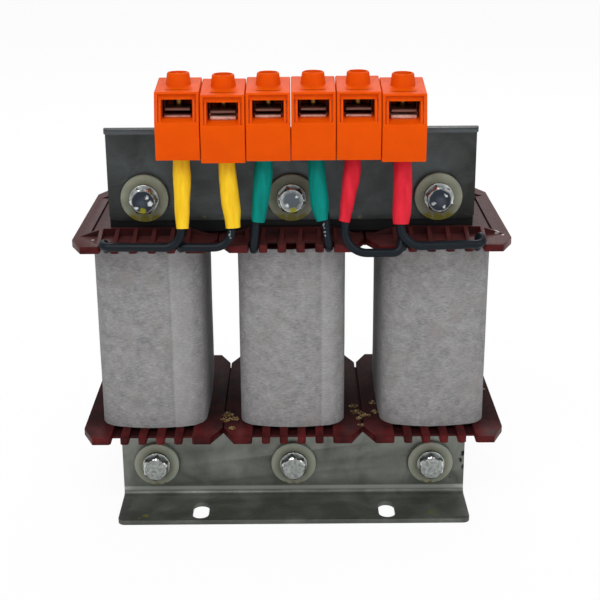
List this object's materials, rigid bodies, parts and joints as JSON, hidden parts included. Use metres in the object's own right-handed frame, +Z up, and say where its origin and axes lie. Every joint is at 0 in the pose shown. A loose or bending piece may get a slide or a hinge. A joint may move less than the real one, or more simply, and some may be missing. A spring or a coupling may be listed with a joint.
{
  "type": "dv-dt filter",
  "caption": "Dv-dt filter choke for a motor drive: paper-wrapped coils on a laminated core, clamped between bent sheet feet and a bracket that carries a row of screw terminals.",
  "frame": {"origin": "on the mounting plane, at the middle of the feet", "axes": "+X along the core from the first to the last coil, -Y towards the terminals, +Z up from the feet"},
  "size_m": [0.18, 0.114, 0.1897],
  "materials": {
    "core_steel": "varnished laminations",
    "galvanised_sheet": "galvanised",
    "dark_sheet": "galvanised, varnished",
    "zinc_steel": "bright zinc",
    "nylon": "natural nylon",
    "terminal_metal": "satin",
    "laminate": "matte",
    "bobbin_plastic": "moulded, varnished",
    "winding_copper": "enamelled wire",
    "wrap_paper": "fibrous",
    "terminal_plastic": "moulded satin",
    "lead_insulation": "satin",
    "yellow_shrink": "satin",
    "green_shrink": "satin",
    "red_shrink": "satin"
  },
  "bodies": {
    "root": {"core_leg_pack": "core_steel", "core_yoke_pack": "core_steel", "lower_front_bracket": "galvanised_sheet", "lower_rear_bracket": "galvanised_sheet", "upper_front_bracket": "dark_sheet", "upper_rear_bracket": "dark_sheet", "lower_bolts": "zinc_steel", "upper_bolts": "zinc_steel", "hex_nuts": "zinc_steel", "steel_washers_front": "zinc_steel", "steel_washers_rear": "zinc_steel", "nylon_washers_front": "nylon", "nylon_washers_rear": "nylon", "insulating_sleeves": "nylon", "press_plates": "terminal_metal", "terminal_screws": "zinc_steel", "gap_spacer_left": "laminate", "bobbin_left": "bobbin_plastic", "winding_left": "winding_copper", "paper_wrap_left": "wrap_paper", "gap_spacer_middle": "laminate", "bobbin_middle": "bobbin_plastic", "winding_middle": "winding_copper", "paper_wrap_middle": "wrap_paper", "gap_spacer_right": "laminate", "bobbin_right": "bobbin_plastic", "winding_right": "winding_copper", "paper_wrap_right": "wrap_paper", "terminal_housing_1": "terminal_plastic", "clamp_frame_1": "terminal_metal", "lead_1": "lead_insulation", "shrink_sleeve_1": "yellow_shrink", "terminal_housing_2": "terminal_plastic", "clamp_frame_2": "terminal_metal", "lead_2": "lead_insulation", "shrink_sleeve_2": "yellow_shrink", "terminal_housing_3": "terminal_plastic", "clamp_frame_3": "terminal_metal", "lead_3": "lead_insulation", "shrink_sleeve_3": "green_shrink", "terminal_housing_4": "terminal_plastic", "clamp_frame_4": "terminal_metal", "lead_4": "lead_insulation", "shrink_sleeve_4": "green_shrink", "terminal_housing_5": "terminal_plastic", "clamp_frame_5": "terminal_metal", "lead_5": "lead_insulation", "shrink_sleeve_5": "red_shrink", "terminal_housing_6": "terminal_plastic", "clamp_frame_6": "terminal_metal", "lead_6": "lead_insulation", "shrink_sleeve_6": "red_shrink"}
  },
  "joints": []
}
